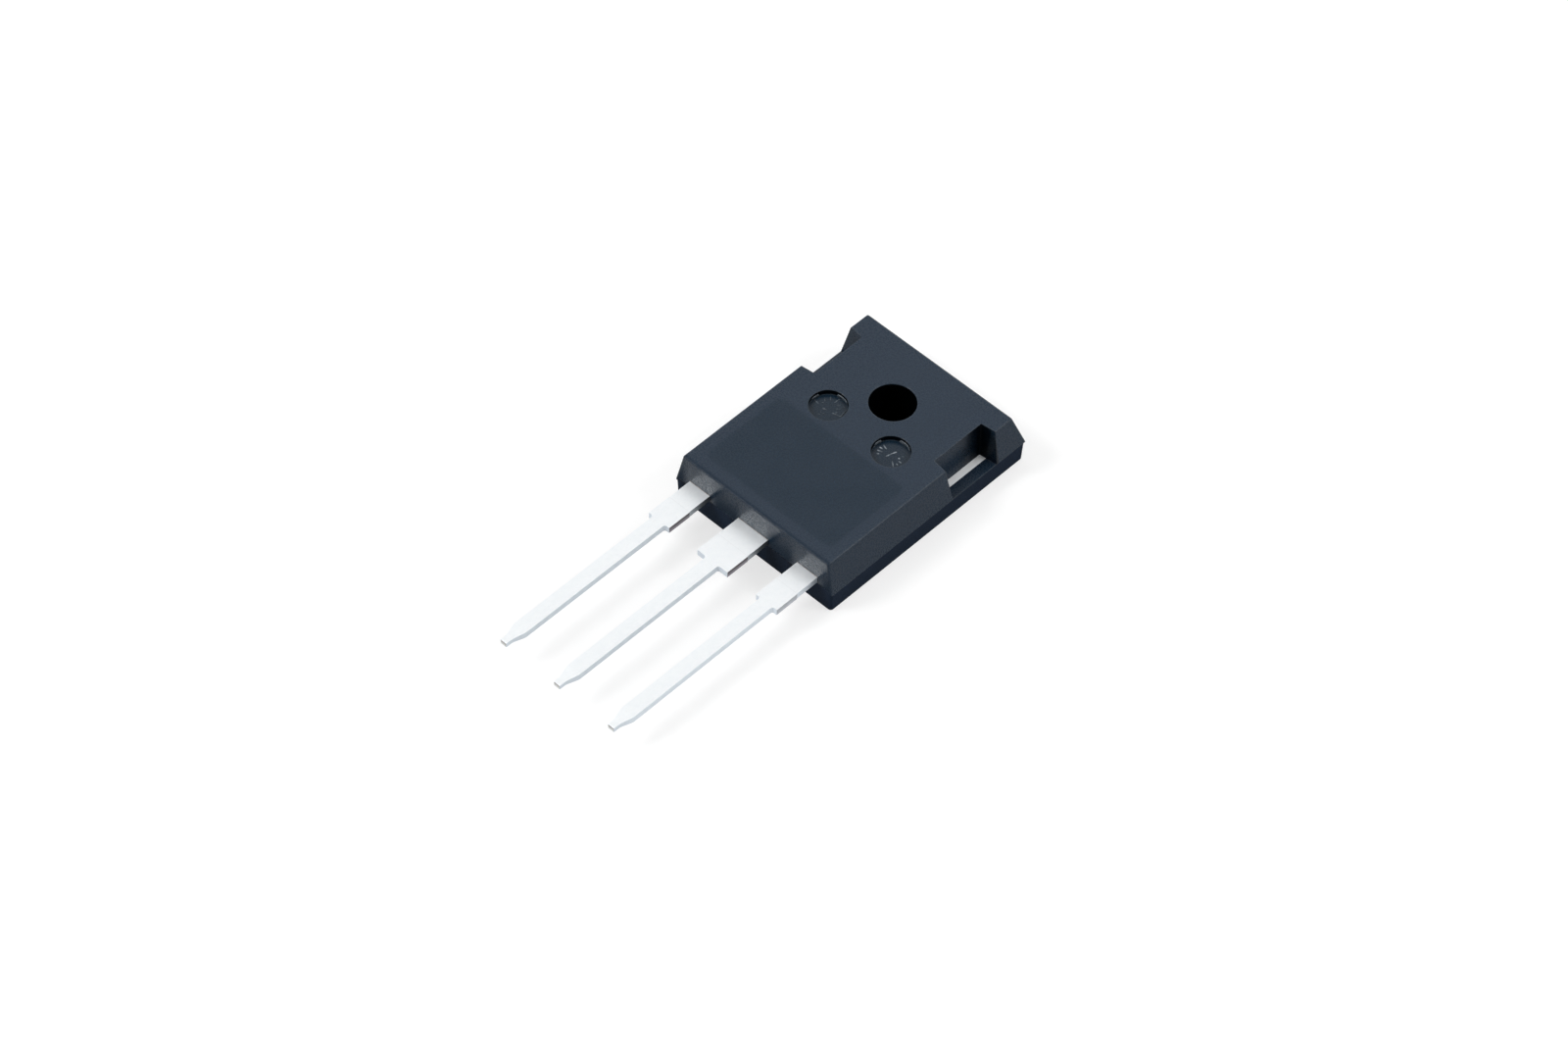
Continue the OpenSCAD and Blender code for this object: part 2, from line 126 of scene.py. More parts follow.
class Graph:
    """A material's or world's node tree, with short calls for the nodes used here."""

    def __init__(self, tree):
        self.tree = tree
        tree.nodes.clear()

    def add(self, kind, inputs=None, **settings):
        node = self.tree.nodes.new(kind)
        for name, value in settings.items():
            setattr(node, name, value)
        for socket, value in (inputs or {}).items():
            self.put(node, socket, value)
        return node

    def put(self, node, socket, value):
        """Links an output, or sets a constant, on the input that socket names or numbers."""
        target = node.inputs[socket]
        if isinstance(value, bpy.types.NodeSocket):
            self.tree.links.new(value, target)
        elif isinstance(target.default_value, float):
            target.default_value = value
        else:
            target.default_value = (*value, 1)[: len(target.default_value)]

    def math(self, operation, *values):
        inputs = dict(enumerate(values))
        return self.add("ShaderNodeMath", inputs, operation=operation).outputs[0]

    def step(self, value, low, high, out_low=0.0, out_high=1.0):
        """Runs smoothly from out_low to out_high as value goes from low to high."""
        inputs = {"Value": value, 1: low, 2: high, 3: out_low, 4: out_high}
        node = self.add("ShaderNodeMapRange", inputs, interpolation_type="SMOOTHSTEP")
        return node.outputs[0]

    def mix(self, share, first, second):
        node = self.add("ShaderNodeMix", {0: share}, data_type="RGBA")
        self.put(node, 6, first)
        self.put(node, 7, second)
        return node.outputs[2]

    def place(self):
        """The point on the surface, in millimetres in the frame of the part."""
        coords = self.add("ShaderNodeTexCoord").outputs["Object"]
        scale = {"Vector": coords, "Scale": (1000, 1000, 1000)}
        return self.add("ShaderNodeMapping", scale).outputs[0]

    def stretch(self, vector, factors):
        return self.add("ShaderNodeMapping", {"Vector": vector, "Scale": factors}).outputs[0]

    def band(self, value, low, high, soft):
        """1 where value is between low and high, with soft edges."""
        rise = self.step(value, low - soft, low + soft)
        return self.all(rise, self.step(value, high - soft, high + soft, 1, 0))

    def all(self, first, *others):
        """How far every mask holds."""
        for other in others:
            first = self.math("MULTIPLY", first, other)
        return first

    def any(self, first, *others):
        """How far at least one mask holds."""
        for other in others:
            first = self.math("MAXIMUM", first, other)
        return first

    def none(self, mask):
        return self.math("SUBTRACT", 1, mask)

    def length(self, x, y):
        square = self.math("ADD", self.math("POWER", x, 2), self.math("POWER", y, 2))
        return self.math("SQRT", square)

    def plate(self, x, y, half_x, half_y, corner, soft):
        """1 inside a rounded rectangle round the origin."""
        sides = []
        for value, half in ((x, half_x), (y, half_y)):
            beyond = self.math("SUBTRACT", self.math("ABSOLUTE", value), half - corner)
            sides.append(self.math("MAXIMUM", beyond, 0))
        return self.step(self.length(*sides), corner - soft, corner + soft, 1, 0)

    def facing(self):
        """The outward direction of the surface in the frame of the part."""
        return self.xyz(self.add("ShaderNodeTexCoord").outputs["Normal"])

    def xyz(self, vector):
        return self.add("ShaderNodeSeparateXYZ", {0: vector}).outputs

    def noise(self, vector, per_mm, detail=2.0, roughness=0.5):
        inputs = {"Vector": vector, "Scale": per_mm, "Detail": detail, "Roughness": roughness}
        return self.add("ShaderNodeTexNoise", inputs).outputs["Fac"]

    def bump(self, height, distance_mm, strength=1.0, normal=None):
        inputs = {"Height": height, "Distance": distance_mm * MM, "Strength": strength}
        if normal is not None:
            inputs["Normal"] = normal
        return self.add("ShaderNodeBump", inputs).outputs[0]

    def surface(self, matte=None, **sockets):
        """The Principled shader and the output, with sockets named in lower case. Where matte
        is given as (share, color), that share of the surface has no gloss."""
        shader = self.add("ShaderNodeBsdfPrincipled")
        for name, value in sockets.items():
            self.put(shader, SOCKETS[name], value)
        if matte:
            share, color = matte
            flat = self.add("ShaderNodeBsdfDiffuse", {"Color": color, "Normal": sockets["normal"]})
            parts = {0: share, 1: shader.outputs[0], 2: flat.outputs[0]}
            shader = self.add("ShaderNodeMixShader", parts)
        self.add("ShaderNodeOutputMaterial", {"Surface": shader.outputs[0]})


SOCKETS = {
    "color": "Base Color",
    "metallic": "Metallic",
    "roughness": "Roughness",
    "normal": "Normal",
    "specular": "Specular IOR Level",
}


def new_material(name):
    material = bpy.data.materials.new(name)
    material.use_nodes = True
    return material, Graph(material.node_tree)


# ---------------------------------------------------------------- floor, world and lamps

FLOOR_SIZE = 6.0
FLOOR_ALBEDO = 0.38
FLOOR_LIFT = 0.66


def seen_directly(graph):
    """1 for rays that show the background: camera, glossy and transmission rays."""
    path = graph.add("ShaderNodeLightPath").outputs
    shown = graph.math("MAXIMUM", path["Is Camera Ray"], path["Is Glossy Ray"])
    return graph.math("MAXIMUM", shown, path["Is Transmission Ray"])


def add_floor():
    half = FLOOR_SIZE / 2
    z = CAD_BOX[0].z
    mesh = bpy.data.meshes.new("floor")
    corners = [(-half, -half, z), (half, -half, z), (half, half, z), (-half, half, z)]
    mesh.from_pydata(corners, [], [(0, 1, 2, 3)])
    floor = bpy.data.objects.new("floor", mesh)
    bpy.context.scene.collection.objects.link(floor)
    material, graph = new_material("pale_floor")
    paper = graph.add("ShaderNodeBsdfDiffuse", {"Color": (FLOOR_ALBEDO,) * 3})
    lift = graph.add("ShaderNodeEmission", {"Color": (1, 1, 1)})
    graph.put(lift, "Strength", graph.math("MULTIPLY", seen_directly(graph), FLOOR_LIFT))
    both = graph.add("ShaderNodeAddShader", {0: paper.outputs[0], 1: lift.outputs[0]})
    graph.add("ShaderNodeOutputMaterial", {"Surface": both.outputs[0]})
    mesh.materials.append(material)


WALL_RADIUS = 2.8
WALL_HEIGHT = 2.2
WALL_SIDES = 48
WALL_ALBEDO = 0.8
WORLD_LIGHT = 0.36


def add_wall():
    """A round white backdrop that stands on the floor, far from the part."""
    z = CAD_BOX[0].z
    rim = []
    for n in range(WALL_SIDES):
        turn = math.tau * n / WALL_SIDES
        rim.append((WALL_RADIUS * math.cos(turn), WALL_RADIUS * math.sin(turn)))
    points = [(x, y, z) for x, y in rim] + [(x, y, z + WALL_HEIGHT) for x, y in rim]
    faces = []
    for n in range(WALL_SIDES):
        after = (n + 1) % WALL_SIDES
        faces.append((n, after, after + WALL_SIDES, n + WALL_SIDES))
    mesh = bpy.data.meshes.new("backdrop")
    mesh.from_pydata(points, [], faces)
    wall = bpy.data.objects.new("backdrop", mesh)
    bpy.context.scene.collection.objects.link(wall)
    material, graph = new_material("white_backdrop")
    paper = graph.add("ShaderNodeBsdfDiffuse", {"Color": (WALL_ALBEDO,) * 3})
    white = graph.add("ShaderNodeEmission", {"Color": (1, 1, 1)})
    shown = seen_directly(graph)
    either = graph.add("ShaderNodeMixShader", {0: shown, 1: paper.outputs[0], 2: white.outputs[0]})
    graph.add("ShaderNodeOutputMaterial", {"Surface": either.outputs[0]})
    mesh.materials.append(material)


def add_world():
    world = bpy.data.worlds.new("studio")
    world.use_nodes = True
    bpy.context.scene.world = world
    graph = Graph(world.node_tree)
    sky = graph.add("ShaderNodeBackground", {"Color": (1, 1, 1), "Strength": WORLD_LIGHT})
    graph.add("ShaderNodeOutputWorld", {"Surface": sky.outputs[0]})


def add_soft_lamp(name, azimuth, elevation, spread, share):
    """A distant round lamp, told by the share of full white that it gives a level white surface.
    Spread is how wide the lamp looks, in degrees."""
    away = direction(azimuth, elevation)
    data = bpy.data.lights.new(name, "SUN")
    data.angle = math.radians(spread)
    data.energy = share * math.pi / math.sin(math.radians(elevation))
    lamp = bpy.data.objects.new(name, data)
    lamp.rotation_mode = "QUATERNION"
    lamp.rotation_quaternion = away.to_track_quat("Z", "Y")
    bpy.context.scene.collection.objects.link(lamp)


def add_lamps():
    add_soft_lamp("key_lamp", azimuth=-38, elevation=45, spread=20, share=0.36)
    add_soft_lamp("side_lamp", azimuth=125, elevation=38, spread=30, share=0.34)
    add_soft_lamp("back_lamp", azimuth=222, elevation=55, spread=80, share=0.18)


# ---------------------------------------------------------------- parts of the surface

# The level field for markings on the front face, left bare.
FIELD_CENTRE_Y = -9.45
FIELD_HALF_X = 6.3
FIELD_HALF_Y = 4.0
FIELD_CORNER = 0.55

# The side notches: their inner wall in |x|, and their near and far walls in y.
NOTCH_X = 5.9
NOTCH_NEAR = -1.9
NOTCH_FAR = 3.2

# The lead end: its height above the parting line in z, where its rim begins in y, and the gap
# between the middle and the right lead in x.
END_FOOT = 2.4
END_RIM = 4.7
END_RIM_Y = -14.3
RIGHT_GAP = (1.5, 3.4)

# Where the long sides begin in |x|, beside the front face.
SIDE_X = 6.9

# The leads, and the stretch of their shoulders that the dam bar was cut from.
LEAD_CENTRES = (-5.44, 0, 5.44)
CUT_LOW = -19.07
CUT_HIGH = -16.93


def upright(graph, normal):
    """1 on walls and on the back, 0 on what faces up."""
    return graph.step(normal[2], 0.3, 0.6, 1, 0)


def lead_end_side(graph, normal):
    """1 on what faces the lead end."""
    return graph.step(normal[1], -0.95, -0.8, 1, 0)


def lower_walls(graph, z, normal):
    """1 on the back and on the walls below the parting line, which is higher at the lead end."""
    line = graph.step(lead_end_side(graph, normal), 0, 1, PARTING, FLASH_LEVEL)
    below = graph.step(graph.math("SUBTRACT", z, line), -0.02, 0, 1, 0)
    return graph.all(upright(graph, normal), below)


def front_field(graph, x, y, normal):
    """1 on the smooth field of the front face."""
    along = graph.math("SUBTRACT", y, FIELD_CENTRE_Y)
    field = graph.plate(x, along, FIELD_HALF_X, FIELD_HALF_Y, FIELD_CORNER, 0.12)
    return graph.all(field, graph.step(normal[2], 0.9, 0.99))


def in_marks(graph, x, y):
    """1 inside the two ejector marks of the front face."""
    across = graph.math("SUBTRACT", graph.math("ABSOLUTE", x), MARK_X)
    away = graph.length(across, graph.math("SUBTRACT", y, MARK_Y))
    return graph.step(away, MARK_RADIUS + 0.02, MARK_RADIUS + 0.06, 1, 0)


def notch_shade(graph, x, y):
    """How deep in shade the right notch is, more towards its far wall."""
    across = graph.math("ABSOLUTE", x)
    inner = graph.band(across, NOTCH_X, NOTCH_X + 1.1, 0.1)
    inner = graph.all(inner, graph.step(y, -0.4, 3.0, 0.08, 0.9))
    far = graph.band(y, NOTCH_FAR - 0.7, NOTCH_FAR, 0.1)
    far = graph.all(far, graph.step(across, NOTCH_X + 0.1, 7.9, 0.9, 0.6))
    notch = graph.all(graph.band(y, NOTCH_NEAR, NOTCH_FAR, 0.1), graph.step(x, 5, 5.5))
    return graph.all(notch, graph.any(inner, far))


def lead_shade(graph, point, normal):
    """Painted shade on the lead end below the parting line: darker in the right gap, and most left
    of each lead, where the leads' shadows fall.
    """
    x, _, z = point
    dark = graph.all(graph.band(x, *RIGHT_GAP, 0.5), 0.4)
    for centre in LEAD_CENTRES:
        left = graph.math("SUBTRACT", centre, x)
        near = graph.all(graph.step(left, 0, 0.1), graph.step(left, 1.1, 2.7, 0.8, 0))
        dark = graph.any(dark, near)
    return graph.all(lower_walls(graph, z, normal), lead_end_side(graph, normal), dark)


def recesses(graph, point, normal):
    """How deep in shade the hole, the right notch, the marks' walls and the foot of the lead
    end are."""
    x, y, z = point
    hole = graph.step(graph.length(x, y), HOLE_RADIUS, HOLE_RADIUS + 0.04, 1, 0)
    above = graph.step(z, PARTING, PARTING + 0.05)
    mark = graph.all(in_marks(graph, x, y), 0.9)
    sunk = graph.any(notch_shade(graph, x, y), mark)
    sunk = graph.all(above, upright(graph, normal), sunk)
    return graph.any(hole, sunk, lead_shade(graph, point, normal))


def over_leads(graph, x, z):
    """1 on the lead end just above each lead, where it mirrors the lead."""
    over = None
    for centre in LEAD_CENTRES:
        offset = graph.math("ABSOLUTE", graph.math("SUBTRACT", x, centre))
        near = graph.step(offset, 1.0, 1.9, 1, 0)
        over = near if over is None else graph.any(over, near)
    return graph.all(over, graph.step(z, 3.3, 4.9, 1, 0.4))


def upper_end_shade(graph, point):
    """Painted shade on the lead end above the parting line, where its gloss gives way to dark
    matte colour: most at its foot, and least where it mirrors a lead."""
    x, _, z = point
    foot = graph.step(z, END_FOOT, END_RIM, 0.82, 0.34)
    return graph.all(graph.none(over_leads(graph, x, z)), foot)


def end_rim_dullness(graph, y, z):
    """How dull the rounded rim between the lead end and the front face is."""
    beyond = graph.step(y, END_RIM_Y - 0.2, END_RIM_Y, 1, 0)
    return graph.all(beyond, graph.step(z, END_RIM, END_RIM + 0.08), 0.5)


def long_sides(graph, x, y):
    """1 beside the front face's long edges and in the notches."""
    across = graph.math("ABSOLUTE", x)
    notch = graph.band(y, NOTCH_NEAR, NOTCH_FAR + 0.2, 0.1)
    notch = graph.all(notch, graph.step(across, NOTCH_X, NOTCH_X + 0.1))
    return graph.any(notch, graph.step(across, SIDE_X, SIDE_X + 0.1))


def sill_shade(graph, point):
    """Painted shade on the right notch's plastic sill, which lies at the parting line: part of its
    gloss gives way to dark matte colour.
    """
    x, y, z = point
    sill = graph.all(graph.band(y, NOTCH_NEAR, 3.0, 0.1), graph.step(x, 5, 6), 0.35)
    return graph.all(graph.band(z, PARTING - 0.1, PARTING + 0.1, 0.02), sill)


def dullness_and_shade(graph, point, normal):
    """How much gloss the mould's rougher walls take off the compound for a dark matte colour;
    below the parting line, on the lead end and on the right notch's sill this is painted shade.
    """
    x, y, z = point
    below = lower_walls(graph, z, normal)
    upper = graph.all(upright(graph, normal), graph.none(below))
    # The notches' far walls face the lead end too, so y tells them apart.
    end_side = graph.all(lead_end_side(graph, normal), graph.step(y, -14, -13, 1, 0))
    end = graph.all(upper, end_side)
    left_to_right = graph.step(x, -5, 5, 0.55, 0.45)
    side = graph.all(upper, long_sides(graph, x, y), graph.none(end), left_to_right)
    # Painted shade below the parting line.
    foot = graph.all(below, graph.step(end_side, 0, 1, 0.94, 0.92))
    end = graph.all(end, upper_end_shade(graph, point))
    rim = end_rim_dullness(graph, y, z)
    return graph.any(foot, end, side, sill_shade(graph, point), rim)


# ---------------------------------------------------------------- moulding compound

# Linear colours. A pair is the range over slow clouds.
BARE = ((0.012, 0.025, 0.044), (0.013, 0.0262, 0.0455))
FIELD = ((0.0035, 0.016, 0.032), (0.006, 0.0185, 0.035))
MARK_BOTTOM = (0.0055, 0.0165, 0.03)
# Darker copies of the compound's colour for its walls, darkest below the parting line: painted
# shade.
SIDE_WALL = (0.006, 0.023, 0.047)
END_WALL = (0.008, 0.0205, 0.037)
LOWER_WALL = (0.009, 0.0185, 0.036)
DEEP_SHADE = (0.0005, 0.001, 0.002)
# A painted highlight along the edges.
EDGE_HIGHLIGHT = (0.045, 0.064, 0.083)
MATTE_UPPER = (0.0072, 0.0168, 0.031)
MATTE_LOWER = (0.0137, 0.0236, 0.043)
MATTE_SHADE = (0.0003, 0.0006, 0.001)
EDGE_RADIUS = 0.14
EDGE_SHARE = 0.6
GLOSS_ROUGHNESS = (0.24, 0.32)


def moulding_color(graph, vector, normal, recess):
    """The compound's colour, with painted shade on its walls and in its recesses, before the
    painted edge highlights.
    """
    x, y, z = graph.xyz(vector)
    cloud = graph.step(graph.noise(vector, per_mm=0.35, detail=3), 0.3, 0.7)
    field = front_field(graph, x, y, normal)
    color = graph.mix(field, graph.mix(cloud, *BARE), graph.mix(cloud, *FIELD))
    color = graph.mix(in_marks(graph, x, y), color, MARK_BOTTOM)
    # The walls take painted shade, most at the lead end and below the parting line.
    wall = upright(graph, normal)
    color = graph.mix(wall, color, SIDE_WALL)
    color = graph.mix(graph.all(wall, lead_end_side(graph, normal)), color, END_WALL)
    color = graph.mix(lower_walls(graph, z, normal), color, LOWER_WALL)
    return graph.mix(recess, color, DEEP_SHADE)


def edge_highlights(graph, vector, normal, rounded, recess):
    """Painted highlight along the edges, where the rounded shading normal turns away from the true
    one. The edges that face the lead end stay dark, except in the left notch."""
    x, y, _ = graph.xyz(vector)
    true_normal = graph.add("ShaderNodeNewGeometry").outputs["Normal"]
    inputs = {0: true_normal, 1: rounded}
    turned = graph.add("ShaderNodeVectorMath", inputs, operation="DOT_PRODUCT").outputs["Value"]
    left_notch = graph.all(graph.step(x, -5, -4.9, 1, 0), graph.step(y, 2, 2.5))
    pale = graph.any(graph.step(normal[1], -0.35, -0.15), left_notch)
    edge = graph.step(turned, 0.9, 0.995, 1, 0)
    return graph.all(edge, graph.none(recess), pale, EDGE_SHARE)


def moulding_compound():
    material, graph = new_material("moulding_compound")
    vector = graph.place()
    point = graph.xyz(vector)
    normal = graph.facing()
    recess = recesses(graph, point, normal)
    rounded = graph.add("ShaderNodeBevel", {"Radius": EDGE_RADIUS * MM}, samples=4).outputs[0]
    # A painted highlight lies along the edges.
    highlight = edge_highlights(graph, vector, normal, rounded, recess)
    color = graph.mix(highlight, moulding_color(graph, vector, normal, recess), EDGE_HIGHLIGHT)
    grain = graph.noise(vector, per_mm=9, detail=3, roughness=0.6)
    rough = graph.step(grain, 0.3, 0.7, *GLOSS_ROUGHNESS)
    relief = graph.bump(grain, distance_mm=0.008, strength=0.4, normal=rounded)
    # Gloss gives way to dark matte colour on the rougher walls and where shade is painted.
    dull_and_shaded = graph.any(recess, dullness_and_shade(graph, point, normal))
    matte = graph.mix(lower_walls(graph, point[2], normal), MATTE_UPPER, MATTE_LOWER)
    matte = (dull_and_shaded, graph.mix(recess, matte, MATTE_SHADE))
    graph.surface(matte=matte, color=color, roughness=rough, normal=relief, specular=0.36)
    return material


# ---------------------------------------------------------------- tinned copper

# Linear colours. A pair is the range over the tin's bloom, or a face's lower and upper part.
TIN = ((0.915, 0.945, 0.965), (0.945, 0.97, 0.985))
TIN_SPECK = (0.8, 0.82, 0.84)
# Painted shade on the leads' walls, lighter on the outer wall at the right.
SHADED_WALL_TIN = ((0.65, 0.715, 0.775), (0.73, 0.785, 0.845))
LIT_OUTER_WALL_TIN = (0.8, 0.865, 0.93)
# Deep painted shade between the dam bar and the body.
REAR_WALL_SHADE = (0.035, 0.043, 0.053)
NOTCH_TIN = (0.965, 0.98, 0.985)
PUNCH_LINE = (0.35, 0.36, 0.38)
CUT_COPPER = ((0.22, 0.195, 0.23), (0.055, 0.04, 0.05))
ENTRY_LINE = (0.3, 0.2, 0.13)
TIP_FACE = ((0.66, 0.67, 0.66), (0.24, 0.19, 0.15))
TIN_METALLIC = 0.44
NOTCH_TIN_METALLIC = 0.02
TIN_ROUGHNESS = (0.36, 0.43)


def plating(graph, vector, bloom, side, flat, outer):
    """The tin: pale and specked on top; on its walls a bluer painted shade, less of it on the
    outer wall at the right, and deep painted shade on the walls between the dam bar and the body."""
    y = graph.xyz(vector)[1]
    flecks = graph.stretch(vector, (3, 1.2, 3))
    speck = graph.noise(flecks, per_mm=3.5, detail=4, roughness=0.7)
    tin = graph.mix(graph.step(bloom, 0.3, 0.7), *TIN)
    tin = graph.mix(graph.step(speck, 0.5, 0.75, 0, 0.35), tin, TIN_SPECK)
    # The walls take painted shade.
    wall = graph.mix(outer, graph.mix(bloom, *SHADED_WALL_TIN), LIT_OUTER_WALL_TIN)
    color = graph.mix(graph.none(flat), tin, wall)
    # Deep painted shade on the walls, growing from the dam bar to the body.
    rear_shade = graph.all(side, graph.step(y, CUT_HIGH - 0.2, LEAD_END, 0.42, 0.88))
    rear_shade = graph.all(rear_shade, graph.step(outer, 0, 1, 1, 0.12))
    rear_shade = graph.all(rear_shade, graph.step(y, CUT_HIGH - 0.02, CUT_HIGH + 0.02))
    return graph.mix(rear_shade, color, REAR_WALL_SHADE)


def add_cuts(graph, vector, color, side, flat, outer):
    """The faces that the dam bar was cut from show bare copper, torn below and sheared above, and
    a faint line crosses each shoulder where the punch stopped."""
    _, y, z = graph.xyz(vector)
    stop = graph.all(flat, graph.band(y, CUT_HIGH - 0.02, CUT_HIGH + 0.02, 0.03), 0.12)
    color = graph.mix(stop, color, PUNCH_LINE)
    cut = graph.all(side, graph.band(y, CUT_LOW, CUT_HIGH, 0.03))
    cut = graph.all(cut, graph.step(outer, 0, 1, 0.95, 0.48))
    sheared = graph.step(z, LEAD_TOP - 0.34, LEAD_TOP - 0.26)
    return graph.mix(cut, color, graph.mix(sheared, *CUT_COPPER))


def add_ends(graph, vector, normal, color, flat):
    """A thin brown line where each lead leaves the compound, and cut tips with a brown upper
    edge."""
    _, y, z = graph.xyz(vector)
    entry = graph.all(flat, graph.band(y, LEAD_END, LEAD_END + 0.2, 0.05))
    color = graph.mix(graph.all(entry, 0.6), color, ENTRY_LINE)
    tip = graph.step(normal[1], -0.9, -0.75, 1, 0)
    tip = graph.all(tip, graph.step(y, TIP + 0.05, TIP + 0.15, 1, 0))
    brown = graph.step(z, LEAD_TOP - 0.26, LEAD_TOP - 0.14)
    return graph.mix(tip, color, graph.mix(brown, *TIP_FACE))


def tinned_copper():
    material, graph = new_material("tinned_copper")
    vector = graph.place()
    x, y, z = graph.xyz(vector)
    normal = graph.facing()
    side = graph.step(graph.math("ABSOLUTE", normal[0]), 0.8, 0.95)
    flat = graph.step(graph.math("ABSOLUTE", normal[2]), 0.8, 0.95)
    outer = graph.step(x, 5.6, 6.2)
    bloom = graph.noise(vector, per_mm=2.2, detail=3)
    color = plating(graph, vector, bloom, side, flat, outer)
    color = add_cuts(graph, vector, color, side, flat, outer)
    color = add_ends(graph, vector, normal, color, flat)
    # The slug's edges, which show in the notches.
    beyond = graph.step(graph.math("ABSOLUTE", x), NOTCH_X, NOTCH_X + 0.1)
    strip = graph.all(flat, beyond, graph.step(y, -5, -4), graph.step(z, 1.2, 1.6))
    color = graph.mix(strip, color, NOTCH_TIN)
    rough = graph.step(bloom, 0.25, 0.75, *TIN_ROUGHNESS)
    drawn = graph.noise(graph.stretch(vector, (9, 0.5, 9)), per_mm=1.2, detail=3)
    metal = graph.step(strip, 0, 1, TIN_METALLIC, NOTCH_TIN_METALLIC)
    relief = graph.bump(drawn, distance_mm=0.008, strength=0.3)
    graph.surface(color=color, roughness=rough, normal=relief, metallic=metal)
    return material


# ---------------------------------------------------------------- inner pieces

# Linear colours, each the range over its pattern.
SOLDER = ((0.4, 0.41, 0.42), (0.55, 0.56, 0.57))
SILICON = ((0.13, 0.14, 0.18), (0.22, 0.23, 0.27))
ALUMINIUM = ((0.78, 0.79, 0.8), (0.88, 0.88, 0.89))
CELL_WIDTH = 0.1


def solder():
    material, graph = new_material("solder")
    ripple = graph.noise(graph.place(), per_mm=5, detail=3)
    color = graph.mix(ripple, *SOLDER)
    relief = graph.bump(ripple, distance_mm=0.03)
    graph.surface(color=color, roughness=0.42, normal=relief, metallic=1.0)
    return material


def silicon():
    material, graph = new_material("silicon")
    x = graph.xyz(graph.place())[0]
    cells = graph.math("PINGPONG", graph.math("ABSOLUTE", x), CELL_WIDTH)
    stripe = graph.step(cells, CELL_WIDTH * 0.35, CELL_WIDTH * 0.65)
    color = graph.mix(stripe, *SILICON)
    relief = graph.bump(stripe, distance_mm=0.004)
    graph.surface(color=color, roughness=0.22, normal=relief, metallic=0.6)
    return material


def bond_wire():
    material, graph = new_material("bond_wire")
    drawn = graph.noise(graph.stretch(graph.place(), (14, 14, 2)), per_mm=1.5, detail=2)
    color = graph.mix(drawn, *ALUMINIUM)
    relief = graph.bump(drawn, distance_mm=0.01)
    graph.surface(color=color, roughness=0.3, normal=relief, metallic=1.0)
    return material


def finish_nodes():
    """Gives every CAD node its finish, and returns the body's."""
    finishes = {"moulded_body": moulding_compound()}
    for material, names in (
        (tinned_copper(), ("collector_frame", "gate_lead", "emitter_lead")),
        (silicon(), ("igbt_chip", "diode_chip")),
        (solder(), ("igbt_solder", "diode_solder")),
    ):
        finishes.update(dict.fromkeys(names, material))
    wire = bond_wire()
    for name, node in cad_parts.items():
        for place in node.material_slots:
            place.material = finishes.get(name, wire)
    return finishes["moulded_body"]


# ---------------------------------------------------------------- fine relief of the moulding

DIM_RIDGE = ((0.035, 0.048, 0.062), (0.08, 0.1, 0.12))
# A painted highlight for the right dial's strokes.
RIDGE_HIGHLIGHT = ((0.07, 0.09, 0.11), (0.34, 0.38, 0.42))


def ridges_with_painted_highlight():
    """Moulding compound on thin ridges: smooth, with a painted highlight on the strokes of the
    right mark's floor.
    """
    material, graph = new_material("ridges_with_painted_highlight")
    vector = graph.place()
    fleck = graph.noise(vector, per_mm=6, detail=3)
    dim = graph.mix(graph.step(fleck, 0.35, 0.65), *DIM_RIDGE)
    highlight = graph.mix(graph.step(fleck, 0.4, 0.65), *RIDGE_HIGHLIGHT)
    x, _, z = graph.xyz(vector)
    low = graph.step(z, MARK_FLOOR + 0.06, MARK_FLOOR + 0.1, 1, 0)
    # The right dial's strokes take the painted highlight.
    color = graph.mix(graph.all(low, graph.step(x, -1, 1)), dim, highlight)
    relief = graph.bump(fleck, distance_mm=0.01, strength=0.5)
    graph.surface(color=color, roughness=0.3, normal=relief, specular=0.5)
    return material


def sweep(frames, section):
    """Vertices and faces of a closed section carried along frames of (centre, side, up, scale)."""
    points = []
    for centre, side, up, scale in frames:
        for offset, rise in section:
            points.append(centre + (side * offset + up * rise) * scale)
    count = len(section)
    faces = []
    for ring in range(len(frames) - 1):
        start = ring * count
        for n in range(count):
            after = (n + 1) % count
            faces.append((start + n, start + after, start + count + after, start + count + n))
    faces.append(tuple(range(count)))
    faces.append(tuple(range(len(points) - count, len(points))))
    return points, faces


def add_relief(name, sweeps, material):
    """One piece out of several sweeps given in millimetres, riding on the body."""
    points, faces = [], []
    for new_points, new_faces in sweeps:
        base = len(points)
        points += [point * MM for point in new_points]
        faces += [tuple(base + n for n in face) for face in new_faces]
    mesh = bpy.data.meshes.new(name)
    mesh.from_pydata(points, [], faces)
    shape = bmesh.new()
    shape.from_mesh(mesh)
    bmesh.ops.recalc_face_normals(shape, faces=shape.faces)
    shape.to_mesh(mesh)
    shape.free()
    mesh.shade_smooth()
    mesh.materials.append(material)
    piece = bpy.data.objects.new(name, mesh)
    bpy.context.scene.collection.objects.link(piece)
    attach(piece, "root")


UP = Vector((0, 0, 1))
SUNK = 0.02
ROUND_STEPS = 6


def rounded_section(width, height):
    """Half an ellipse that stands on a base sunk under the surface."""
    section = [(width / 2, -SUNK)]
    for n in range(ROUND_STEPS + 1):
        turn = math.pi * n / ROUND_STEPS
        section.append((width / 2 * math.cos(turn), height * math.sin(turn)))
    section.append((-width / 2, -SUNK))
    return section


STROKE_WIDTH = 0.1
STROKE_HEIGHT = 0.045
STROKE_END = 0.05
STROKE_END_SCALE = 0.4


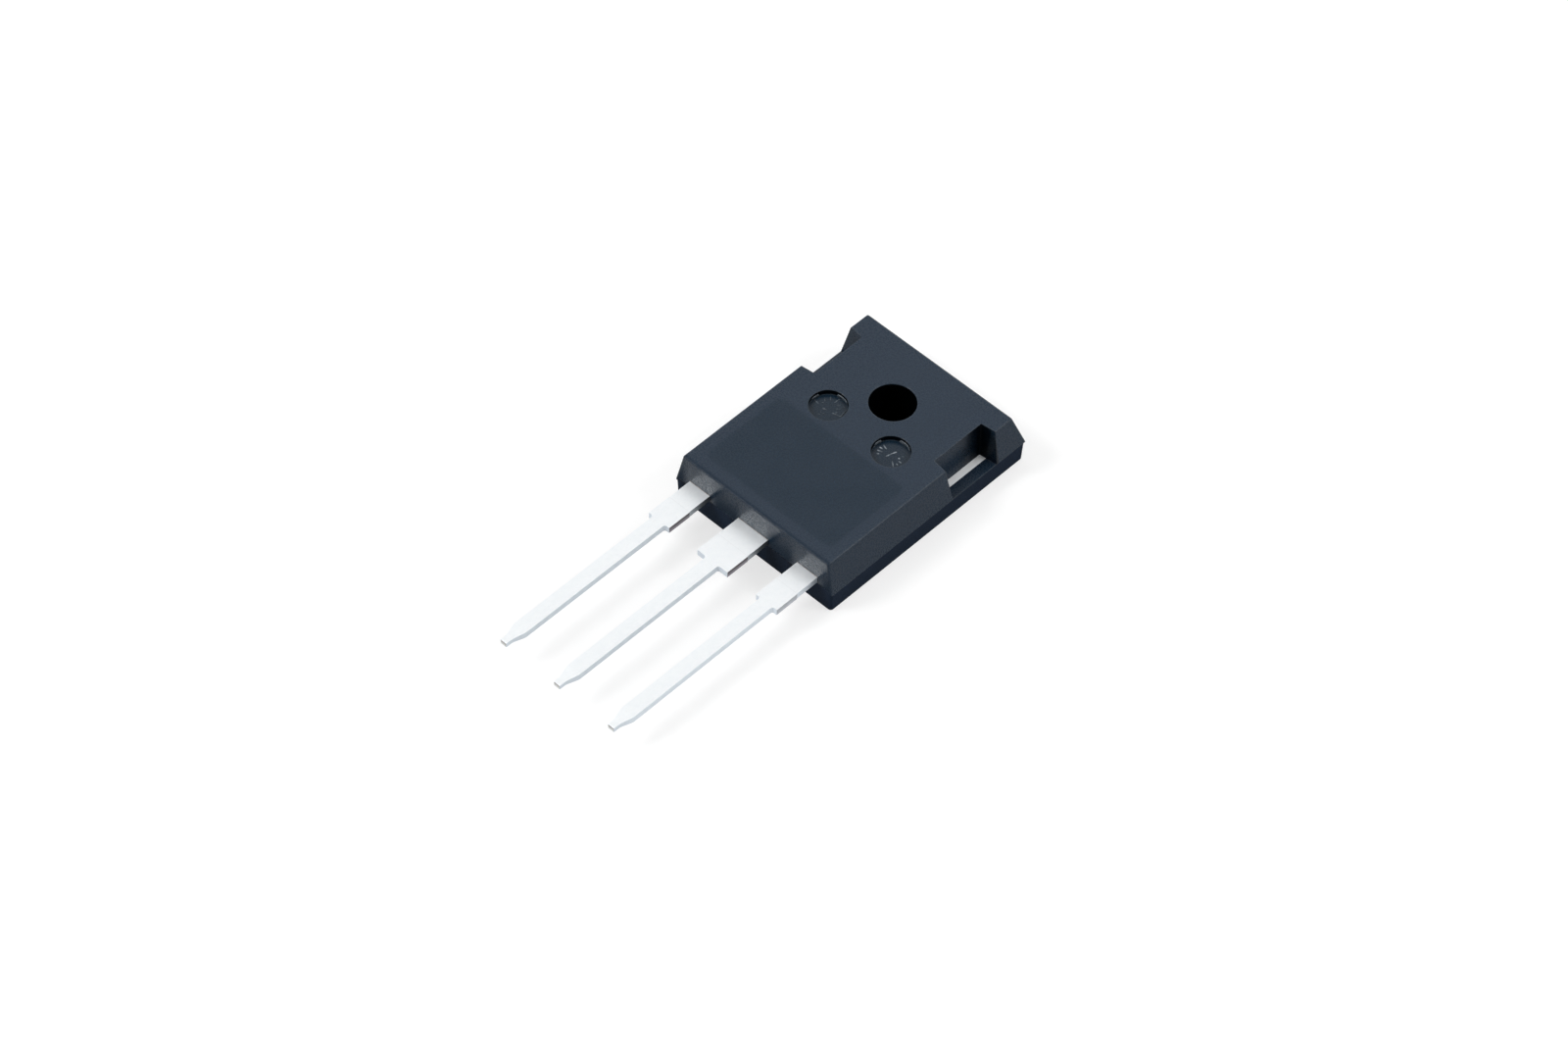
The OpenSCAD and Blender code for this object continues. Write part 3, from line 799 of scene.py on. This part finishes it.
def stroke(centre, start, end):
    """A short raised stroke with rounded ends on the floor of an ejector mark."""
    first, last = (centre + Vector((x, y, 0)) for x, y in (start, end))
    along = (last - first).normalized()
    side = along.cross(UP)
    frames = [
        (first - along * STROKE_END, side, UP, STROKE_END_SCALE),
        (first, side, UP, 1),
        (last, side, UP, 1),
        (last + along * STROKE_END, side, UP, STROKE_END_SCALE),
    ]
    return sweep(frames, rounded_section(STROKE_WIDTH, STROKE_HEIGHT))


LEDGE_HEIGHT = 0.2
LEDGE_WIDTH = 0.07
LEDGE_STEP = 4
LEDGE_IN_WALL = 0.02
LEDGE_END_SCALE = 0.25
# The shares of the width and of the height at which its chamfer starts.
LEDGE_CHAMFER = (0.6, 0.7)


def ledge(centre, start, end):
    """A low ledge along the wall of an ejector mark, between two angles in degrees."""
    section = [
        (LEDGE_IN_WALL, -SUNK),
        (LEDGE_IN_WALL, LEDGE_HEIGHT),
        (-LEDGE_WIDTH * LEDGE_CHAMFER[0], LEDGE_HEIGHT),
        (-LEDGE_WIDTH, LEDGE_HEIGHT * LEDGE_CHAMFER[1]),
        (-LEDGE_WIDTH, -SUNK),
    ]
    frames = []
    steps = round((end - start) / LEDGE_STEP)
    for n in range(steps + 1):
        turn = math.radians(start + (end - start) * n / steps)
        out = Vector((math.cos(turn), math.sin(turn), 0))
        taper = LEDGE_END_SCALE if n in (0, steps) else 1
        frames.append((centre + out * MARK_RADIUS, out, UP, taper))
    return sweep(frames, section)


def tick(angle, inner, outer):
    """A stroke of a dial that lies along a radius."""
    turn = math.radians(angle)
    return [(radius * math.cos(turn), radius * math.sin(turn)) for radius in (inner, outer)]


# Plain dials, in millimetres from the centre of a mark: strokes as (start, end), ticks as
# (angle, inner and outer radius), and ledges as (from, to) in degrees. None is a letter or number.
RIGHT_TICKS = [
    (162, 0.72, 1.08),
    (180, 0.85, 1.08),
    (198, 0.72, 1.08),
    (216, 0.92, 1.04),
    (322, 0.66, 1.1),
    (340, 0.92, 1.04),
    (358, 0.85, 1.04),
    (16, 0.66, 0.72),
    (34, 0.85, 0.96),
]
LEFT_STROKES = [
    ((-1.36, -0.06), (-0.92, -0.12)),
    ((-0.08, 1.3), (-0.1, 0.82)),
    ((-0.35, -0.2), (0.0, -0.16)),
    ((0.5, -0.06), (1.14, 0.08)),
    ((1.16, 0.12), (1.04, 0.84)),
    ((0.66, 0.92), (0.7, 0.96)),
    ((-0.16, -0.86), (-0.12, -0.84)),
    ((0.66, 0.16), (0.68, 0.2)),
    ((-0.95, 0.6), (-0.72, 0.42)),
    ((-0.68, 0.98), (-0.5, 0.76)),
    ((0.44, 0.44), (0.66, 0.62)),
    ((0.26, 0.78), (0.38, 0.9)),
    ((-0.72, 0.16), (-0.68, 0.18)),
    ((0.04, -0.6), (0.08, -0.56)),
    ((-0.22, -0.6), (-0.18, -0.62)),
]
RIGHT_POINTER = ((-0.16, -0.28), (0.07, 0.5))
RIGHT_STROKES = [tick(*place) for place in RIGHT_TICKS] + [RIGHT_POINTER]
LEDGES = [(62, 108), (160, 190)]


def add_ejector_marks(material):
    for name, x, strokes in (
        ("left_dial", -MARK_X, LEFT_STROKES),
        ("right_dial", MARK_X, RIGHT_STROKES),
    ):
        centre = Vector((x, MARK_Y, MARK_FLOOR))
        add_relief(name, [stroke(centre, *ends) for ends in strokes], material)
        add_relief(name + "_ledge", [ledge(centre, *ends) for ends in LEDGES], material)


FLASH_WIDTH = 0.035
FLASH_HEIGHT = 0.02
FLASH_STEP = 0.24
FLASH_SPANS = [(-7.5, -6.5), (-4.4, -1.55), (1.55, 4.4), (6.5, 7.5)]
# Two waves along the line make its size swing round this share of the full one.
FLASH_SHARE = 0.7
FLASH_SWING = 0.3
FLASH_WAVES = (5, 2.3)


def flash(start, end):
    """An uneven thin line of flash along the parting line of the lead end."""
    frames = []
    steps = round((end - start) / FLASH_STEP)
    for n in range(steps + 1):
        x = start + (end - start) * n / steps
        wave = math.sin(FLASH_WAVES[0] * x) * math.sin(FLASH_WAVES[1] * x + 1)
        scale = FLASH_SHARE + FLASH_SWING * wave
        frames.append((Vector((x, LEAD_END, FLASH_LEVEL)), UP, Vector((0, -1, 0)), scale))
    return sweep(frames, rounded_section(FLASH_WIDTH, FLASH_HEIGHT))


def add_flash(material):
    add_relief("parting_flash", [flash(*span) for span in FLASH_SPANS], material)


bpy.context.scene.view_settings.view_transform = "Standard"
add_camera()
add_world()
add_floor()
add_wall()
add_lamps()
body_finish = finish_nodes()
add_ejector_marks(ridges_with_painted_highlight())
add_flash(body_finish)
